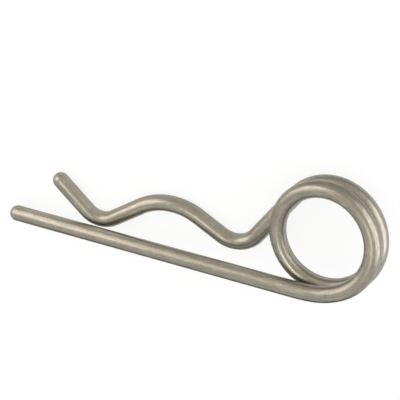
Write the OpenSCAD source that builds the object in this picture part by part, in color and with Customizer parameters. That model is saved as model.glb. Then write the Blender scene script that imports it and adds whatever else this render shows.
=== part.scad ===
// Hitch R clip pin: one length of round spring wire, bent without a joint into a straight leg,
// a coil of a little over one and a half turns, and a wavy leg that snaps over a shaft.
// Millimetres, Z up. The clip lies as it comes to rest on a flat floor at z = 0, on its wavy side,
// with the straight leg on top and pointing along -X. The origin is where the coil's axis
// meets the floor.

/* [Wire] */
// diameter of the spring wire
wire_d = 4; // [3:0.1:5]

/* [Straight leg] */
// length of the straight leg, from the coil to the middle of its domed tip
straight_leg = 76.4; // [60:0.1:100]

/* [Coil] */
// radius of the coil, from its axis to the middle of the wire
coil_r = 12.15; // [10:0.05:16]
// number of even arcs that the coil is made of
arcs = 11; // [8:1:14]
// degrees turned by each even arc
arc_turn = 46.2; // [40:0.1:50]
// lean of each even arc after the one before, which keeps every turn clear of the last
arc_lean = 2.67; // [2.6:0.01:4]
// gentle radius where the straight leg starts to turn
gentle_r = 40; // [30:1:60]
// degrees turned at the gentle radius
gentle_turn = 6; // [2:0.5:10]
// lean of the gentle arc, which lifts the coil's second turn clear of the straight leg
gentle_lean = 9.4; // [6:0.1:12]
// slacker radius that leads from the gentle arc into the even ones
ease_r = 17.5; // [14:0.1:22]
// degrees turned at the slacker radius
ease_turn = 22; // [15:0.5:35]
// lean of the slacker arc
ease_lean = 1.8; // [0:0.1:4]
// how much of that lean the first even arc takes back
ease_back = 1.8; // [0:0.1:4]
// degrees turned by the last arc, where the wavy leg leaves the coil
exit_turn = 57; // [40:0.5:70]
// lean of that last arc
exit_lean = 1.2; // [0:0.1:3]

/* [Wavy leg] */
// lean of the whole leg towards the straight one, so that its valleys come close to it
leg_lean = 14.3; // [0:0.1:16]
// straight run from the coil to the inner valley
inner_run = 16.1; // [12:0.1:20]
// bend radius of the inner valley
inner_r = 6.5; // [4:0.1:10]
// degrees turned by the inner valley
inner_turn = 87.1; // [60:0.1:95]
// straight run from the inner valley up to the seat
rise_run = 6.9; // [3:0.1:10]
// bend radius of the arch that seats the shaft
seat_r = 13.5; // [10:0.1:20]
// degrees turned by the arch
seat_turn = 66.1; // [45:0.1:80]
// straight run from the arch down to the outer valley
fall_run = 9; // [5:0.1:12]
// bend radius of the outer valley, the throat that the shaft is pushed through
outer_r = 5.6; // [4:0.1:10]
// degrees turned by the outer valley
outer_turn = 79.6; // [60:0.1:95]
// flared end, from the outer valley to the middle of its domed tip
flare_run = 9.8; // [5:0.1:15]

/* [Rest] */
// tip of the whole clip about Y when it lies on the floor
rest_pitch = -6.98; // [-10:0.01:0]
// tip of the whole clip about X when it lies on the floor
rest_roll = -1.16; // [-5:0.01:5]
// where the straight leg runs into the coil, along X from the origin
start_x = -6.7; // [-12:0.1:10]
// the same place along Y
start_y = -11.1; // [-20:0.1:0]
// height of the same place above the floor
start_z = 12.54; // [5:0.01:20]

/* [Hidden] */
$fn = 96;
steel = [0.61, 0.59, 0.54];
// The wire is drawn in metres and enlarged to millimetres when it is finished. Each stretch
// starts where the one before it ends, and at the small size the two ends agree closely enough
// to join into one clean solid.
metre = 1000;
bar_r = wire_d/2/metre;

// The helpers below draw one stretch of wire from the origin along +Z, and place what follows at
// its far end, pointing along the new direction.

module straight(length) {
    h = length/metre;
    cylinder(r = bar_r, h = h);
    translate([0, 0, h]) children();
}

// An arc. At no lean it turns from +Z towards +X, and a lean turns it about the wire first:
// at 180 degrees it bends the other way.
module bend(radius, angle, lean) {
    r = radius/metre;
    out = r*(1 - cos(angle));
    rotate([0, 0, lean])
        translate([r, 0, 0])
            rotate([90, 0, 0])
                rotate([0, 180, 0])
                    rotate_extrude(angle = angle)
                        translate([r, 0]) circle(r = bar_r);
    translate([out*cos(lean), out*sin(lean), r*sin(angle)])
        rotate([0, angle, lean]) children();
}

module tip() {
    sphere(r = bar_r);
}

module even_arcs(left, lean) {
    if (left > 0)
        bend(coil_r, arc_turn, lean) even_arcs(left - 1, -arc_lean) children();
    else
        children();
}

module coil() {
    bend(gentle_r, gentle_turn, -gentle_lean)
        bend(ease_r, ease_turn, -ease_lean)
            even_arcs(arcs, ease_back)
                bend(coil_r, exit_turn, -exit_lean) children();
}

module wavy_leg() {
    straight(inner_run) bend(inner_r, inner_turn, 180)
        straight(rise_run) bend(seat_r, seat_turn, 180)
            straight(fall_run) bend(outer_r, outer_turn, 180)
                straight(flare_run) tip();
}

module straight_leg_and_tip() {
    translate([0, 0, -straight_leg/metre]) {
        tip();
        straight(straight_leg);
    }
}

module spring_wire() {
    color(steel)
        translate([start_x, start_y, start_z])
            rotate([rest_roll, 0, 0])
                rotate([0, rest_pitch, 0])
                    rotate([90, 0, 90])
                        scale(metre) {
                            straight_leg_and_tip();
                            coil() rotate([0, 0, -leg_lean]) wavy_leg();
                        }
}

spring_wire();
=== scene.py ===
# %% [markdown]
# This lesson finishes a hitch R clip pin: one length of stainless spring wire, bent into a
# straight leg, a double coil and a wavy leg. The imported CAD model is the fixed frame. It says how
# large the clip is and where it lies, so it is loaded first.

from collections import namedtuple
from math import cos, pi, radians, sin

import bpy
import numpy as np
from mathutils import Matrix, Vector


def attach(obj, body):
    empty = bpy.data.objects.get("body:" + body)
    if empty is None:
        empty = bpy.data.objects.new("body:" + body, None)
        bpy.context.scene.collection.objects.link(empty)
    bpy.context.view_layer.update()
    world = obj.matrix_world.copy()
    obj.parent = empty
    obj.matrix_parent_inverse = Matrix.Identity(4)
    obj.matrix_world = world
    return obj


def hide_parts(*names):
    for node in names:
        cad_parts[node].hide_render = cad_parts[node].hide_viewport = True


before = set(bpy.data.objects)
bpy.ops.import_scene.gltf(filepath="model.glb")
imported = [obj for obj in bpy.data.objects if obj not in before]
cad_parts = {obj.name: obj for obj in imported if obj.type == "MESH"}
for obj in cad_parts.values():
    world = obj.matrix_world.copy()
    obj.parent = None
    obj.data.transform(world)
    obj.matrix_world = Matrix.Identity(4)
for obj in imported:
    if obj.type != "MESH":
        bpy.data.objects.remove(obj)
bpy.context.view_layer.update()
MM = 0.001


def in_mm(place):
    """A place in millimetres, rounded for printing."""
    return [round(v / MM, 2) for v in place]


# %% [markdown]
# A camera can be placed by typing in a position and three turns, but then nobody can tell what it
# looks at. Here it starts from the point it looks at, and stands off from it by an azimuth, an
# elevation and a distance. A long lens from about 30 cm keeps the two legs close to parallel. The
# camera looks down on the clip from the wavy leg's side and is rolled over, so that the straight
# leg comes out low in the view and the coil on the right.

# %% Camera
LOOK_AT = Vector((-32.37, 3.96, 5.99)) * MM
AZIMUTH, ELEVATION, ROLL = 58.414, 53.903, -143.197
DISTANCE = 308.99 * MM
# Blender takes a lens and its sensor in millimetres, and everything else in metres
LENS, SENSOR_WIDTH = 119.344, 36
NEAREST_SEEN = 0.01

camera_data = bpy.data.cameras.new("camera")
camera_data.lens, camera_data.sensor_width = LENS, SENSOR_WIDTH
camera_data.clip_start = NEAREST_SEEN
camera = bpy.data.objects.new("camera", camera_data)
bpy.context.scene.collection.objects.link(camera)
bpy.context.scene.camera = camera


def direction(azimuth, elevation):
    """The unit vector that points that way, from +X towards +Y and then up."""
    a, e = radians(azimuth), radians(elevation)
    return Vector((cos(e) * cos(a), cos(e) * sin(a), sin(e)))


def facing_back(azimuth, elevation, away, turned_by):
    """A place that far from the point looked at, turned to face it and about its own middle."""
    outwards = direction(azimuth, elevation)
    level = outwards.to_track_quat("Z", "Y").to_matrix()
    turned = level @ Matrix.Rotation(radians(turned_by), 3, "Z")
    return Matrix.Translation(LOOK_AT + outwards * away) @ turned.to_4x4()


camera.matrix_world = facing_back(AZIMUTH, ELEVATION, DISTANCE, ROLL)
print("camera at", in_mm(camera.location), "mm")

# %% [markdown]
# The clip lies on a plain white sheet, far larger than the camera sees, so that no edge of it
# shows. It is a single flat face. A thick sheet with a soft edge could be made as easily, but all
# that it adds would be out of sight.

# %% Floor
FLOOR_HALF = 3.0


def flat_sheet(name, corners):
    """One face with four corners, each in metres."""
    mesh = bpy.data.meshes.new(name)
    mesh.from_pydata(corners, [], [(0, 1, 2, 3)])
    sheet = bpy.data.objects.new(name, mesh)
    bpy.context.scene.collection.objects.link(sheet)
    return sheet


floor = flat_sheet("floor", [(-FLOOR_HALF, -FLOOR_HALF, 0), (FLOOR_HALF, -FLOOR_HALF, 0),
                             (FLOOR_HALF, FLOOR_HALF, 0), (-FLOOR_HALF, FLOOR_HALF, 0)])
print("floor", 2 * FLOOR_HALF, "m wide, at z = 0")

# %% [markdown]
# A sheet lit to pure white would need so much light that the steel on it would be washed out.
# Light Path lets the sheet tell who is looking instead: to the camera, and to the steel as it
# mirrors the sheet, it is mostly a plain white glow, and the rest of it is ordinary matt paper,
# which keeps the soft shadow under the wire.

# %% Paper
PAPER = (0.90, 0.90, 0.90, 1)
GLOW_SHARE = 0.86

paper = bpy.data.materials.new("white_paper")
paper.use_nodes = True
paper_nodes, paper_links = paper.node_tree.nodes, paper.node_tree.links
paper_nodes.clear()


def arithmetic(tree, operation, a, b):
    """The result of a Math node. Each of a and b is a number or another node's output."""
    step = tree.nodes.new("ShaderNodeMath")
    step.operation = operation
    for value, socket in zip((a, b), step.inputs):
        if isinstance(value, float):
            socket.default_value = value
        else:
            tree.links.new(value, socket)
    return step.outputs[0]


rays = paper_nodes.new("ShaderNodeLightPath").outputs
looked_at = arithmetic(paper.node_tree, "MAXIMUM", rays["Is Camera Ray"], rays["Is Glossy Ray"])
looked_at = arithmetic(paper.node_tree, "MAXIMUM", looked_at, rays["Is Transmission Ray"])
share = arithmetic(paper.node_tree, "MULTIPLY", looked_at, GLOW_SHARE)
matt = paper_nodes.new("ShaderNodeBsdfDiffuse")
matt.inputs["Color"].default_value = PAPER
glow = paper_nodes.new("ShaderNodeEmission")
both = paper_nodes.new("ShaderNodeMixShader")
for shader, socket in zip((share, matt.outputs[0], glow.outputs[0]), both.inputs):
    paper_links.new(shader, socket)
paper_out = paper_nodes.new("ShaderNodeOutputMaterial")
paper_links.new(both.outputs[0], paper_out.inputs["Surface"])
floor.data.materials.append(paper)
print("paper is", round(100 * GLOW_SHARE), "% glow to the camera and the steel")

# %% [markdown]
# Bare metal shows its surroundings more than itself, so lighting it means deciding what it
# mirrors. The room gives the calm middle tone of satin steel, and it is close to white all round,
# so a colour renders about as it is written. One wall is a little warm and the one across from it
# a little cool, which gives the two sides of the wire their faintly brown and green greys. Often
# an image of a real room is wrapped round a scene for this. Two plain walls that blend into each
# other are enough here, and no furniture shows in the steel.

# %% Room
WARM_WALL = (0.94, 0.90, 0.84, 1)
COOL_WALL = (0.90, 0.93, 0.94, 1)
# a Mix node keeps a set of sockets for every kind of value, and these are its colours
COLOUR_A, COLOUR_B, MIXED_COLOUR = 6, 7, 2

world = bpy.data.worlds.new("room")
world.use_nodes = True
bpy.context.scene.world = world
room_nodes, room_links = world.node_tree.nodes, world.node_tree.links


def blend_colours(tree, amount, a, b):
    """A colour between a and b. Each is a fixed colour or another node's output."""
    mix = tree.nodes.new("ShaderNodeMix")
    mix.data_type = "RGBA"
    tree.links.new(amount, mix.inputs["Factor"])
    for value, socket in ((a, mix.inputs[COLOUR_A]), (b, mix.inputs[COLOUR_B])):
        if isinstance(value, tuple):
            socket.default_value = value
        else:
            tree.links.new(value, socket)
    return mix.outputs[MIXED_COLOUR]


looking = room_nodes.new("ShaderNodeTexCoord")
looking_parts = room_nodes.new("ShaderNodeSeparateXYZ")
across_room = room_nodes.new("ShaderNodeMapRange")
across_room.inputs["From Min"].default_value = -1.0
room_links.new(looking.outputs["Generated"], looking_parts.inputs[0])
room_links.new(looking_parts.outputs["Y"], across_room.inputs["Value"])
walls = blend_colours(world.node_tree, across_room.outputs["Result"], COOL_WALL, WARM_WALL)
room_links.new(walls, room_nodes["Background"].inputs["Color"])
print("walls", COOL_WALL[:3], "to", WARM_WALL[:3])

# %% [markdown]
# Soft panels draw the highlights. One stands on the left of the view and lays the long cream
# line down each leg. One stands low on the right, where the coil turns its outside to it; part of
# it is below the floor, which covers that part. A small one hangs overhead for the flared end. A
# glowing sheet would light the steel too, but a lamp does it with less noise. A panel is a lamp
# with a size: the larger it is for its distance, the softer the edge of its highlight. The panels
# are hidden from the camera, so that none of them gets in the way when the clip is looked at from
# another side.

# %% Lamps
# angles are in degrees, lengths in metres, and a brightness of 1 is white paper
PANELS = {
    "left_panel": dict(azimuth=151, elevation=30, away=0.24, width=0.20, height=0.20,
                       turned_by=12, brightness=1.65, colour=(1.0, 0.955, 1.0)),
    "right_panel": dict(azimuth=12, elevation=2, away=0.085, width=0.085, height=0.070,
                        turned_by=12, brightness=2.0, colour=(0.95, 0.97, 1.06)),
    "overhead_panel": dict(azimuth=-20, elevation=86, away=0.30, width=0.10, height=0.11,
                           turned_by=0, brightness=3.0, colour=(1.0, 0.97, 0.97)),
}


def soft_panel(name, azimuth, elevation, away, width, height, turned_by, brightness, colour):
    """A panel lamp that faces the clip. Brightness is how bright it looks, whatever its size."""
    lamp = bpy.data.lights.new(name, "AREA")
    lamp.shape = "RECTANGLE"
    lamp.size, lamp.size_y = width, height
    lamp.energy = brightness * pi * width * height
    lamp.color = colour
    panel = bpy.data.objects.new(name, lamp)
    bpy.context.scene.collection.objects.link(panel)
    panel.matrix_world = facing_back(azimuth, elevation, away, turned_by)
    panel.visible_camera = False


for name, settings in PANELS.items():
    soft_panel(name, **settings)
print(len(bpy.data.lights), "panels")

# %% [markdown]
# With light from every side a round wire loses its edges against white paper. In a studio, grey
# card is put beside it, and the wire mirrors the card as a darker line along its side. Here one
# card stands behind the clip and one lies in front of it. A real card would also shade the paper.
# These are hidden from the camera and from the paper and cast no shadow, so only the steel shows
# them.

# %% Grey cards
MIDDLE_X = -0.045
BACK_HALF, BACK_Y, BACK_HEIGHT, BACK_GREY = 0.065, -0.045, 0.022, 0.12
FRONT_HALF, FRONT_NEAR, FRONT_FAR, FRONT_HEIGHT, FRONT_GREY = 0.10, 0.017, 0.14, 0.001, 0.45


def grey_card(name, half_width, one_edge, other_edge, grey):
    """A matt card across the clip. Each edge is its place along Y and its height, in metres."""
    left, right = MIDDLE_X - half_width, MIDDLE_X + half_width
    card = flat_sheet(name, [(left, *one_edge), (right, *one_edge),
                             (right, *other_edge), (left, *other_edge)])
    card.visible_camera = card.visible_diffuse = card.visible_shadow = False
    matt_grey = bpy.data.materials.new(name)
    matt_grey.use_nodes = True
    card_surface = matt_grey.node_tree.nodes["Principled BSDF"]
    card_surface.inputs["Base Color"].default_value = (grey, grey, grey, 1)
    card_surface.inputs["Roughness"].default_value = 1.0
    card.data.materials.append(matt_grey)


grey_card("back_card", BACK_HALF, (BACK_Y, 0), (BACK_Y, BACK_HEIGHT), BACK_GREY)
grey_card("front_card", FRONT_HALF, (FRONT_NEAR, FRONT_HEIGHT), (FRONT_FAR, FRONT_HEIGHT),
          FRONT_GREY)
print("back card at y =", BACK_Y, "m, front card from y =", FRONT_NEAR, "m")

# %% [markdown]
# The maker bends the clip from straight wire, one bend after another. Points could be placed by
# hand along the wire instead, but then no arc would be even, so it is drawn in the maker's way. A
# set of three axes travels along the middle of the wire: Z points ahead, and a bend turns the axes
# towards their own X. Leaning them about the wire first sends the next bend another way, and half
# a turn sends it to the other side. These are the same bends that the CAD solid is made of, so
# the finish lies on it without any fitting.

# %% The bends, in the order that the wire meets them
WIRE_R = 2.0 * MM
STRAIGHT_LEG = 76.4 * MM
COIL_R, EVEN_TURN = 12.15, 46.2
# each bend is its radius in mm, the degrees it turns, and its lean about the wire in degrees
LEAD_IN = [(40.0, 6.0, -9.4), (17.5, 22.0, -1.8), (COIL_R, EVEN_TURN, 1.8)]
EVEN_ARCS = [(COIL_R, EVEN_TURN, -2.67)] * 10
LEAD_OUT = [(COIL_R, 57.0, -1.2)]
COIL_BENDS = LEAD_IN + EVEN_ARCS + LEAD_OUT
LEG_LEAN = -14.3
# each stretch of the wavy leg is a straight run in mm, and then a bend's radius in mm and degrees
WAVES = [(16.1, 6.5, 87.1), (6.9, 13.5, 66.1), (9.0, 5.6, 79.6)]
OTHER_SIDE = 180
FLARE = 9.8
print("turned in the coil:", round(sum(turned for _, turned, _ in COIL_BENDS), 1), "degrees")

# %% [markdown]
# Blender can sweep a circle along a curve by itself, but then it also decides how the section
# twists, and the section is the same in every bend. The walk below notes a ring every half
# millimetre or so instead: where its middle is, and the two directions across the wire. Those two
# are taken back by the lean that has built up, so that neighbouring rings never twist against each
# other and lines along the wire stay smooth. It also notes which way the wire is bending and how
# sharply, because that is needed for the section.

# %% A walk along the wire
STEP = 0.5 * MM
Ring = namedtuple("Ring", "place across gone bending")


class Walk:
    """The place that has been reached on the wire, and the rings noted on the way there."""

    def __init__(self, place, axes):
        self.place, self.axes, self.lean, self.gone = place, axes, 0.0, 0.0
        self.rings = []
        self.note(place, axes, 0.0, 0.0)

    def note(self, place, axes, gone, sharpness):
        """Keep a ring. Gone is the wire's length up to it, and sharpness is 1 over the radius."""
        across = axes @ Matrix.Rotation(-self.lean, 3, "Z")
        bending = Vector((cos(self.lean), sin(self.lean))) * sharpness
        self.rings.append(Ring(place.copy(), across.copy(), gone, bending))

    def lean_by(self, degrees):
        """Turn the axes about the wire, so that the next bend goes another way."""
        self.axes = self.axes @ Matrix.Rotation(radians(degrees), 3, "Z")
        self.lean += radians(degrees)

    def straight(self, length):
        """Go straight ahead."""
        ahead = self.axes.col[2]
        steps = max(1, round(length / STEP))
        for k in range(1, steps + 1):
            run = length * k / steps
            self.note(self.place + ahead * run, self.axes, self.gone + run, 0.0)
        self.place = self.place + ahead * length
        self.gone += length

    def bend(self, radius, degrees, lean):
        """Lean, and then follow an arc towards the axes' own X."""
        self.lean_by(lean)
        side, ahead = self.axes.col[0].copy(), self.axes.col[2].copy()
        angle = radians(degrees)
        steps = max(1, round(radius * angle / STEP))
        for k in range(1, steps + 1):
            a = angle * k / steps
            place = self.place + side * radius * (1 - cos(a)) + ahead * radius * sin(a)
            self.note(place, self.axes @ Matrix.Rotation(a, 3, "Y"),
                      self.gone + radius * a, 1 / radius)
        self.place = self.rings[-1].place
        self.axes = self.axes @ Matrix.Rotation(angle, 3, "Y")
        self.gone += radius * angle


print("a ring about every", STEP / MM, "mm")

# %% [markdown]
# The walk starts at the tip of the straight leg. That tip follows from where the coil starts,
# because the CAD model says where the coil is. The clip was first drawn flat and then tipped a
# few degrees, to the way it comes to rest on a table.

# %% Follow the wire from tip to tip
COIL_STARTS = Vector((-6.7, -11.1, 12.54)) * MM
ROLLED, PITCHED = -1.16, -6.98
# flat on the table, the wire runs along +X and bends towards +Y, and its third axis is up
FLAT = Matrix(((0, 0, 1), (1, 0, 0), (0, 1, 0)))

tipped = Matrix.Rotation(radians(ROLLED), 3, "X") @ Matrix.Rotation(radians(PITCHED), 3, "Y")
start_axes = tipped @ FLAT
walk = Walk(COIL_STARTS - start_axes.col[2] * STRAIGHT_LEG, start_axes)
walk.straight(STRAIGHT_LEG)
for radius, degrees, lean in COIL_BENDS:
    walk.bend(radius * MM, degrees, lean)
walk.lean_by(LEG_LEAN)
for run, radius, degrees in WAVES:
    walk.straight(run * MM)
    walk.bend(radius * MM, degrees, OTHER_SIDE)
walk.straight(FLARE * MM)
print(len(walk.rings), "rings along", round(walk.gone / MM, 1), "mm of wire")

# %% [markdown]
# A round wire doesn't stay quite round in a bend: the section flattens a little towards the
# inside and swells sideways, by about a fortieth in the tightest bends here. The bending is
# averaged over a few rings first, because real wire eases into a bend.

# %% The wire's section
AROUND = 64
# the rings to each side that a bend is averaged over, and how much a sharp bend flattens the wire
EASE, FLATTEN = 4, 0.2

bending = np.array([ring.bending for ring in walk.rings]) * WIRE_R
weights = np.hanning(2 * EASE + 3)[1:-1]
weights /= weights.sum()
eased = np.stack([np.convolve(np.pad(bending[:, k], EASE, mode="edge"), weights, "valid")
                  for k in range(2)], axis=1)
theta = np.arange(AROUND) * 2 * pi / AROUND
circle = np.stack([np.cos(theta), np.sin(theta)], axis=1)


def section(k):
    """The wire's outline at ring k, as points across it in metres."""
    inwards = circle @ eased[k]
    sharp = float(eased[k] @ eased[k])
    squeeze = 1 - FLATTEN * (2 * inwards ** 2 - sharp)
    return circle * (squeeze * WIRE_R)[:, None]


print("largest squeeze of the section: %.1f%%" % (100 * FLATTEN * (eased ** 2).sum(1).max()))

# %% [markdown]
# The two ends are domes of the wire's own radius, made of rings that close up towards a point.
# They could be spheres pushed onto the ends, but then each would meet the wire in a seam.

# %% Rings from dome to dome
DOME_RINGS = 14

first, last = walk.rings[0], walk.rings[-1]
dome_angles = [pi / 2 * k / DOME_RINGS for k in range(1, DOME_RINGS)]
rings = []
for a in dome_angles:
    rings.append((first.place - first.across.col[2] * WIRE_R * cos(a), first.across,
                  section(0) * sin(a), first.gone - WIRE_R * cos(a)))
for k, ring in enumerate(walk.rings):
    rings.append((ring.place, ring.across, section(k), ring.gone))
for a in reversed(dome_angles):
    rings.append((last.place + last.across.col[2] * WIRE_R * cos(a), last.across,
                  section(-1) * sin(a), last.gone + WIRE_R * cos(a)))
print(len(rings), "rings with the domes")

# %% [markdown]
# The rings become one closed skin of four-sided faces, with a fan of triangles at each tip.
# Blender's Bridge tool could fill between the rings too. Written down by ring and by point, each
# face is where it is expected, and the skin comes out the same every time.

# %% Points and faces
points, before = [], []
for place, across, outline, gone in rings:
    x, y = across.col[0], across.col[1]
    for u, v in outline:
        points.append(place + x * u + y * v)
        before.append((u / MM, v / MM, gone / MM))


def corner(i, j):
    """The number of point j on ring i, where the count goes round and round."""
    return i * AROUND + j % AROUND


faces = [(corner(i, j), corner(i, j + 1), corner(i + 1, j + 1), corner(i + 1, j))
         for i in range(len(rings) - 1) for j in range(AROUND)]
for end, i, sign in ((first, 0, -1), (last, len(rings) - 1, 1)):
    tip = len(points)
    points.append(end.place + end.across.col[2] * WIRE_R * sign)
    before.append((0, 0, (end.gone + WIRE_R * sign) / MM))
    for j in range(AROUND):
        a, b = corner(i, j), corner(i, j + 1)
        faces.append((a, tip, b) if sign < 0 else (a, b, tip))
print(len(points), "points and", len(faces), "faces")

# %% [markdown]
# The skin also carries a note for the material: where each point was on the wire while the wire
# was still straight. Marks from the die that the wire was drawn through follow the wire, so a
# pattern worked out on the straight wire bends with it. A UV map could say the same, but it would
# have to be cut open along the wire, and this note has no such seam.

# %% The wire as a mesh
ON_STRAIGHT_WIRE = "place_on_straight_wire"

wire_mesh = bpy.data.meshes.new("bent_spring_wire")
wire_mesh.from_pydata([tuple(p) for p in points], [], faces)
note = wire_mesh.attributes.new(ON_STRAIGHT_WIRE, "FLOAT_VECTOR", "POINT")
note.data.foreach_set("vector", np.array(before, np.float32).ravel())
wire_mesh.polygons.foreach_set("use_smooth", np.ones(len(faces), bool))
wire_mesh.update()
wire = bpy.data.objects.new("bent_spring_wire", wire_mesh)
bpy.context.scene.collection.objects.link(wire)
print("wire measures", in_mm(wire.dimensions), "mm")

# %% [markdown]
# The wire is stainless steel with the satin skin that drawing leaves: a warm grey, neither
# polished nor painted. Seen close, die lines run along it, with short hairlines between them. Its
# grey drifts from place to place, and the skin is cloudy. Here and there a bending pin has scuffed
# it. An image of steel wrapped round the wire would show a seam. Each of these is a noise pattern
# instead, read in the straightened coordinates and stretched along the wire, a hundredfold for
# the die lines and three- or fourfold for the rest.

# %% Steel: patterns on the wire
steel = bpy.data.materials.new("satin_drawn_steel")
steel.use_nodes = True
nodes, links = steel.node_tree.nodes, steel.node_tree.links
metal = nodes["Principled BSDF"]
on_wire = nodes.new("ShaderNodeAttribute")
on_wire.attribute_name = ON_STRAIGHT_WIRE


def pattern(name, across, lengthwise, detail, low, high):
    """Noise on the straight wire, in cycles a millimetre each way, spread out between 0 and 1."""
    stretch = nodes.new("ShaderNodeVectorMath")
    stretch.operation = "MULTIPLY"
    stretch.inputs[1].default_value = (across, across, lengthwise)
    noise = nodes.new("ShaderNodeTexNoise")
    noise.inputs["Scale"].default_value = 1.0
    noise.inputs["Detail"].default_value = detail
    spread = nodes.new("ShaderNodeMapRange")
    spread.inputs["From Min"].default_value = low
    spread.inputs["From Max"].default_value = high
    spread.label = name
    links.new(on_wire.outputs["Vector"], stretch.inputs[0])
    links.new(stretch.outputs[0], noise.inputs["Vector"])
    links.new(noise.outputs["Fac"], spread.inputs["Value"])
    return spread.outputs["Result"]


die_lines = pattern("die lines", across=2.2, lengthwise=0.02, detail=5, low=0.36, high=0.64)
hairlines = pattern("hairlines", across=3.5, lengthwise=0.9, detail=3, low=0.35, high=0.65)
drift = pattern("drift of the grey", across=0.30, lengthwise=0.07, detail=2, low=0.3, high=0.7)
clouds = pattern("clouds in the skin", across=0.6, lengthwise=0.22, detail=5, low=0.32, high=0.68)
scuffs = pattern("scuffs", across=1.4, lengthwise=0.35, detail=5, low=0.58, high=0.74)
print("patterns:", [n.label for n in nodes if n.label])

# %% [markdown]
# Colour in a metal is the colour of its reflection, so it is kept to a narrow range of warm
# greys. The drift moves it between a rosy grey and an olive one, and the clouds darken it in soft
# patches a few millimetres long. The die lines and the hairlines are darker still, and the scuffs
# are laid over everything as a brighter, rubbed grey.

# %% Steel: colour
ROSY_STEEL = (0.467, 0.416, 0.338, 1)
OLIVE_STEEL = (0.394, 0.373, 0.305, 1)
CLOUD_STEEL = (0.235, 0.213, 0.173, 1)
LINE_STEEL = (0.200, 0.183, 0.148, 1)
SCUFFED_STEEL = (0.470, 0.425, 0.360, 1)
# each layer is a pattern, how strong it is at its strongest, and the colour it brings
LAYERS = ((clouds, 0.40, CLOUD_STEEL), (die_lines, 0.45, LINE_STEEL),
          (hairlines, 0.50, LINE_STEEL), (scuffs, 0.50, SCUFFED_STEEL))


def times(value, factor):
    """A pattern made weaker, or turned over by a factor below 0."""
    return arithmetic(steel.node_tree, "MULTIPLY", value, factor)


grey = blend_colours(steel.node_tree, drift, ROSY_STEEL, OLIVE_STEEL)
for marks, strongest, colour in LAYERS:
    grey = blend_colours(steel.node_tree, times(marks, strongest), grey, colour)
links.new(grey, metal.inputs["Base Color"])
metal.inputs["Metallic"].default_value = 1.0
print("steel from", SCUFFED_STEEL[:3], "to", LINE_STEEL[:3])

# %% [markdown]
# Satin steel blurs what it mirrors, which is a matter of roughness. The die lines and scuffs are
# a little rougher than the skin between them. The bump is what the lines would feel like to a
# fingernail: about a thousandth of a millimetre, no more, or the wire would look like bark.

# %% Steel: roughness and bump
ROUGHNESS, ROUGHER_LINES, ROUGHER_SCUFFS = 0.29, 0.10, 0.10
LINE_RELIEF, SCUFF_RELIEF = 0.6, -0.3
BUMP_STRENGTH, BUMP_DEPTH = 0.5, 0.002 * MM


def plus(a, b):
    """Two patterns added, or a pattern and a number."""
    return arithmetic(steel.node_tree, "ADD", a, b)


rough = plus(plus(times(die_lines, ROUGHER_LINES), ROUGHNESS), times(scuffs, ROUGHER_SCUFFS))
links.new(rough, metal.inputs["Roughness"])

bump = nodes.new("ShaderNodeBump")
bump.inputs["Strength"].default_value = BUMP_STRENGTH
bump.inputs["Distance"].default_value = BUMP_DEPTH
relief = plus(times(die_lines, LINE_RELIEF), times(scuffs, SCUFF_RELIEF))
links.new(relief, bump.inputs["Height"])
links.new(bump.outputs["Normal"], metal.inputs["Normal"])
wire_mesh.materials.append(steel)
print("roughness from", ROUGHNESS, "to", round(ROUGHNESS + ROUGHER_LINES + ROUGHER_SCUFFS, 2))

# %% [markdown]
# The finished wire now takes the place of the CAD solid, which stays behind it for collisions.
# The clip is a single piece with no joint, so it rides on the one body that there is.

# %% Hand the wire over to the frame
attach(wire, "root")
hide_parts("spring_wire")
bpy.context.scene.view_settings.view_transform = "Standard"
